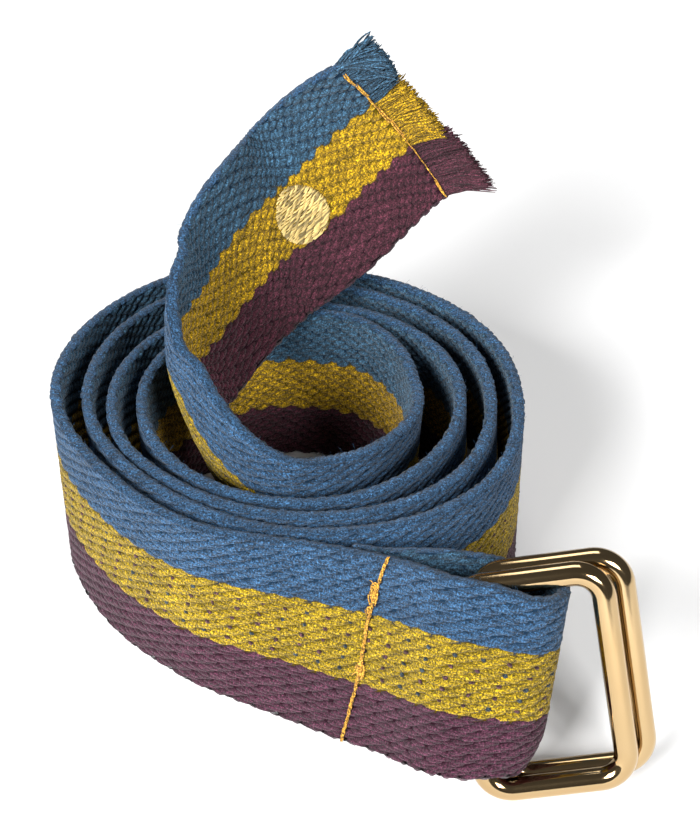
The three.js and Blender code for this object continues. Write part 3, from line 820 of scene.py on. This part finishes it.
def lustrous_finish():
    """Shiny embroidery thread: a little metal in it, and fine twist."""
    finish = Finish("dot_thread", Roughness=0.36, Metallic=0.35, Sheen_Weight=0.1)
    twist = finish.noise(finish.mapped(finish.uv(), (3.0, 8.0, 1.0), (0, 0, 0.6)), 3.0, 2.0, 0.5)
    speckle = finish.noise(finish.object_place(), 1500.0, 2.0, 0.6)
    shade = twist * 0.8 + speckle * 0.9 + 0.15
    finish.set("Base Color", finish.mix(1.0, finish.attribute("dye"), shade, "MULTIPLY"))
    finish.bump(twist + speckle, 0.5, 0.00006)
    return finish.material


lustrous = lustrous_finish()


def wire_ring(name, node, back, slide):
    """A ring of round wire, drawn along its outline and turned into a mesh."""
    centre = held_bar + ring_back * back + ring_along * slide
    points = [to_row(centre + ring_along * a + ring_up * b) for a, b in ring_outline(14)]
    curve = bpy.data.curves.new(name, "CURVE")
    curve.dimensions = "3D"
    curve.bevel_depth = WIRE / 2 * MM
    curve.bevel_resolution = 8
    spline = curve.splines.new("POLY")
    spline.points.add(len(points) - 1)
    for point, place in zip(spline.points, points):
        point.co = (*place, 1)
    spline.use_cyclic_u = True
    piece = bpy.data.objects.new(name, curve)
    bpy.context.scene.collection.objects.link(piece)
    bpy.ops.object.select_all(action="DESELECT")
    bpy.context.view_layer.objects.active = piece
    piece.select_set(True)
    bpy.ops.object.convert(target="MESH")
    piece = bpy.context.object
    piece.data.shade_smooth()
    finished(piece, gold)
    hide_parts(node)
    return piece


def line_at(turn):
    """The distance along the webbing of a turn on the coil."""
    place = coil_middle(turn)
    near = np.linalg.norm(middles - place, axis=1)
    near[:seam_row] = 1e9
    return distance[int(near.argmin())]


DOT_LINE = line_at(DOT_TURN) + 0.6

cloth_piece = webbing_ground()
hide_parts("webbing")
stretches = np.linspace(0.8, LENGTH - 0.6, 4)
weaves = []
for k in range(3):
    weaves.append(weave(f"weave_outer_{k + 1}", 1, stretches[k], stretches[k + 1]))
    weaves.append(weave(f"weave_inner_{k + 1}", -1, stretches[k], stretches[k + 1]))
weaves += [weft_specks(), selvedge("selvedge_blue", True), selvedge("selvedge_plum", False)]
weaves += [fuzz("fuzz_blue", 1500, WIDTH - 1.2, WIDTH, BLUE), fuzz("fuzz_plum", 500, 0.1, 1.0, PLUM)]
fringes = [fringe(colour) for colour in FRINGES]
sewing = [fold_stitching(), tip_stitching()]
dot = embroidered_dot()
wire_ring("wire_ring_near", "ring_near", 0, 0)
wire_ring("wire_ring_far", "ring_far", ring_spacing, FAR_RING_SLIDE)
weaves + fringes + sewing + [dot]


def studio():
    """A plain pale floor, soft light from the upper left and the front, and the camera."""
    bpy.ops.object.select_all(action="DESELECT")
    bpy.ops.mesh.primitive_plane_add(size=6, location=(0, 0, 0))
    floor = bpy.context.object
    floor.name = "floor"
    pale = Finish("floor_paper", Roughness=0.9, Base_Color=(0.94, 0.94, 0.94, 1))
    floor.data.materials.append(pale.material)
    world = bpy.data.worlds.new("studio")
    bpy.context.scene.world = world
    world.use_nodes = True
    world.node_tree.nodes["Background"].inputs["Color"].default_value = (1, 1, 1, 1)
    world.node_tree.nodes["Background"].inputs["Strength"].default_value = 0.1
    for name, place, size, power in LAMPS:
        lamp = bpy.data.lights.new(name, "AREA")
        lamp.energy, lamp.size = power, size
        holder = bpy.data.objects.new(name, lamp)
        holder.location = place
        holder.rotation_euler = (Vector((0, 0, 0.03)) - Vector(place)).to_track_quat("-Z", "Y").to_euler()
        bpy.context.scene.collection.objects.link(holder)
    bpy.context.scene.view_settings.view_transform = "Standard"
    lens = bpy.data.cameras.new("camera")
    lens.sensor_fit, lens.sensor_width = "HORIZONTAL", 36
    lens.lens = 36 * FOCAL_PIXELS / IMAGE_WIDTH
    lens.clip_start = 0.01
    camera = bpy.data.objects.new("camera", lens)
    camera.location = to_row(CAMERA_PLACE)
    camera.rotation_euler = (math.radians(90 - CAMERA_PITCH), 0, 0)
    bpy.context.scene.collection.objects.link(camera)
    bpy.context.scene.camera = camera


# Soft lamps: name, place, size and power
LAMPS = [
    ("key", (-0.6, -0.8, 0.65), 0.5, 28.0),
    ("front", (0.5, -0.85, 0.65), 0.35, 11.0),
    ("above", (0.0, 0.5, 1.1), 0.5, 3.0),
]

# The camera's place in the layout, worked out from the coil's rims
CAMERA_PLACE = (6.8, -298.2, 276.0)
CAMERA_PITCH = 39.454
FOCAL_PIXELS = 1968.0
IMAGE_WIDTH = 700
studio()
